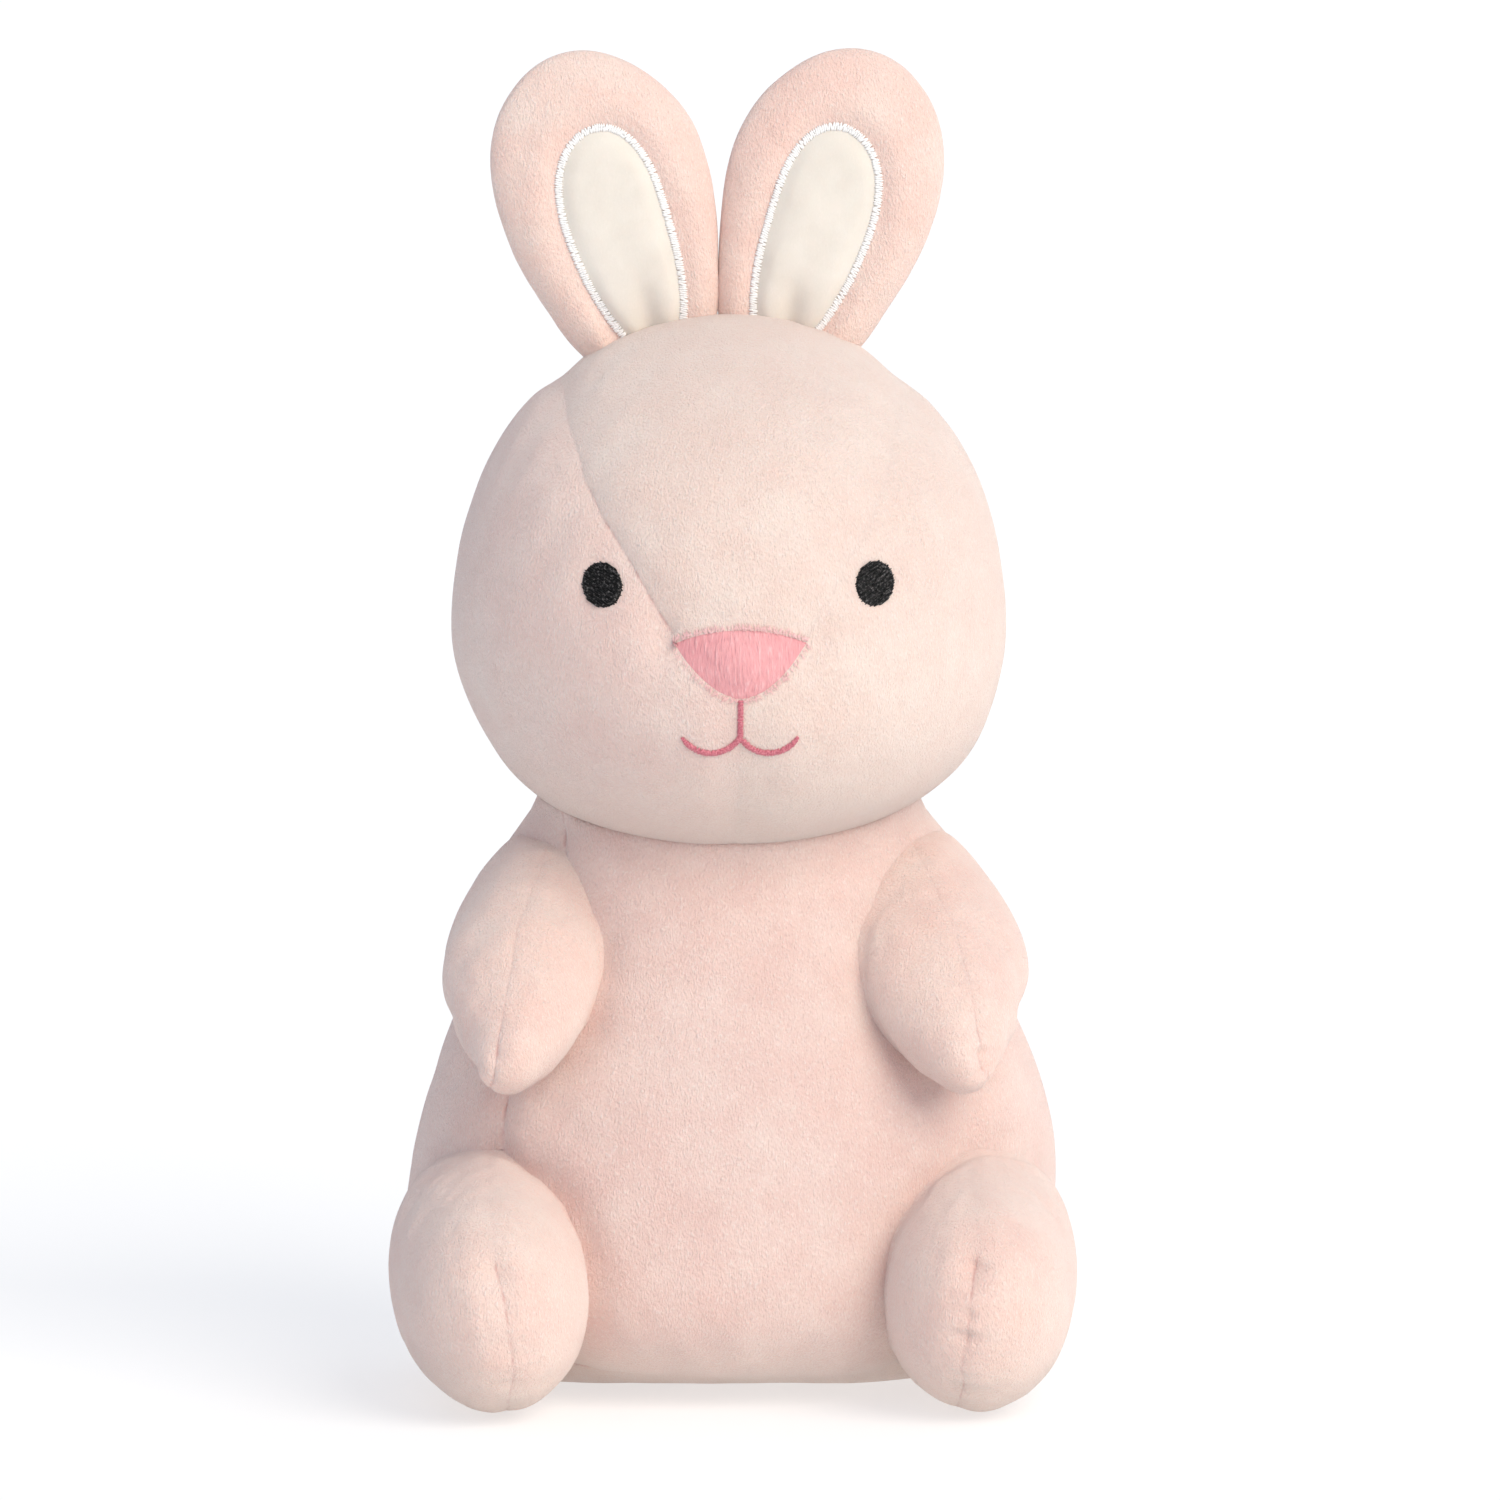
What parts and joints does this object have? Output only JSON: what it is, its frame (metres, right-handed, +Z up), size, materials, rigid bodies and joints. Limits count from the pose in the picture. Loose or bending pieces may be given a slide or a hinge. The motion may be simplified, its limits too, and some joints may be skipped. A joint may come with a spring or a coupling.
{
  "type": "stuffed bunny rabbit",
  "caption": "Sitting plush rabbit with upright padded ears, stitched face, stub arms and forward legs, sewn from short-pile panels over fibre stuffing.",
  "frame": {"origin": "on the table, under the middle of the toy's overall box", "axes": "+Z up; the rabbit faces -Y; its left side is +X"},
  "size_m": [0.1298, 0.132, 0.254],
  "materials": {
    "body_plush": "matte",
    "ear_lining": "matte",
    "white_satin_thread": "satin",
    "nose_plush": "matte",
    "rose_thread": "satin",
    "black_thread": "satin",
    "tail_plush": "matte",
    "stuffing_fibre": "matte",
    "pellet_cloth": "matte",
    "pellets": "matte",
    "label_satin": "satin",
    "seam_thread": "matte"
  },
  "bodies": {
    "torso": {"belly_panel": "body_plush", "back_panel_left": "body_plush", "back_panel_right": "body_plush", "base_panel": "body_plush", "torso_stuffing": "stuffing_fibre", "pellet_bag": "pellet_cloth", "pellet_fill": "pellets", "tail_cover": "tail_plush", "tail_stuffing": "stuffing_fibre", "care_label": "label_satin", "closing_stitches": "seam_thread"},
    "neck": {"neck_seam_ring": "body_plush"},
    "head": {"head_gusset": "body_plush", "nose_panel": "nose_plush", "head_side_left": "body_plush", "head_side_right": "body_plush", "head_stuffing": "stuffing_fibre", "eye_left": "black_thread", "eye_right": "black_thread", "mouth_stitching": "rose_thread"},
    "ear_left": {"ear_left_front": "body_plush", "ear_left_back": "body_plush", "ear_left_inner": "ear_lining", "ear_left_satin_edge": "white_satin_thread", "ear_left_stuffing": "stuffing_fibre"},
    "arm_left": {"arm_left_outer_panel": "body_plush", "arm_left_inner_panel": "body_plush", "arm_left_stuffing": "stuffing_fibre"},
    "leg_left": {"leg_left_outer_panel": "body_plush", "leg_left_inner_panel": "body_plush", "leg_left_stuffing": "stuffing_fibre"},
    "ear_right": {"ear_right_front": "body_plush", "ear_right_back": "body_plush", "ear_right_inner": "ear_lining", "ear_right_satin_edge": "white_satin_thread", "ear_right_stuffing": "stuffing_fibre"},
    "arm_right": {"arm_right_outer_panel": "body_plush", "arm_right_inner_panel": "body_plush", "arm_right_stuffing": "stuffing_fibre"},
    "leg_right": {"leg_right_outer_panel": "body_plush", "leg_right_inner_panel": "body_plush", "leg_right_stuffing": "stuffing_fibre"}
  },
  "joints": [
    {"name": "head_turn", "type": "hinge", "parent": "torso", "child": "neck", "pos_m": [0, -0.004, 0.1675], "axis": [0, 0, 1], "range_deg": [-30, 30], "stiffness_Nm_per_rad": 0.2},
    {"name": "head_nod", "type": "hinge", "parent": "neck", "child": "head", "pos_m": [0, -0.004, 0.1675], "axis": [1, 0, 0], "range_deg": [-12, 12], "stiffness_Nm_per_rad": 0.3},
    {"name": "ear_left_fold", "type": "hinge", "parent": "head", "child": "ear_left", "pos_m": [0.014, 0, 0.2045], "axis": [1, 0, 0], "range_deg": [-50, 50], "stiffness_Nm_per_rad": 0.02},
    {"name": "arm_left_lift", "type": "hinge", "parent": "torso", "child": "arm_left", "pos_m": [0.036, -0.006, 0.094], "axis": [-1, 0, 0], "range_deg": [0, 40], "stiffness_Nm_per_rad": 0.03},
    {"name": "leg_left_lift", "type": "hinge", "parent": "torso", "child": "leg_left", "pos_m": [0.0453, -0.016, 0.0248], "axis": [-1, 0, 0], "range_deg": [0, 12], "stiffness_Nm_per_rad": 0.1},
    {"name": "ear_right_fold", "type": "hinge", "parent": "head", "child": "ear_right", "pos_m": [-0.014, 0, 0.2045], "axis": [1, 0, 0], "range_deg": [-50, 50], "stiffness_Nm_per_rad": 0.02},
    {"name": "arm_right_lift", "type": "hinge", "parent": "torso", "child": "arm_right", "pos_m": [-0.036, -0.006, 0.094], "axis": [-1, 0, 0], "range_deg": [0, 40], "stiffness_Nm_per_rad": 0.03},
    {"name": "leg_right_lift", "type": "hinge", "parent": "torso", "child": "leg_right", "pos_m": [-0.0453, -0.016, 0.0248], "axis": [-1, 0, 0], "range_deg": [0, 12], "stiffness_Nm_per_rad": 0.1}
  ]
}
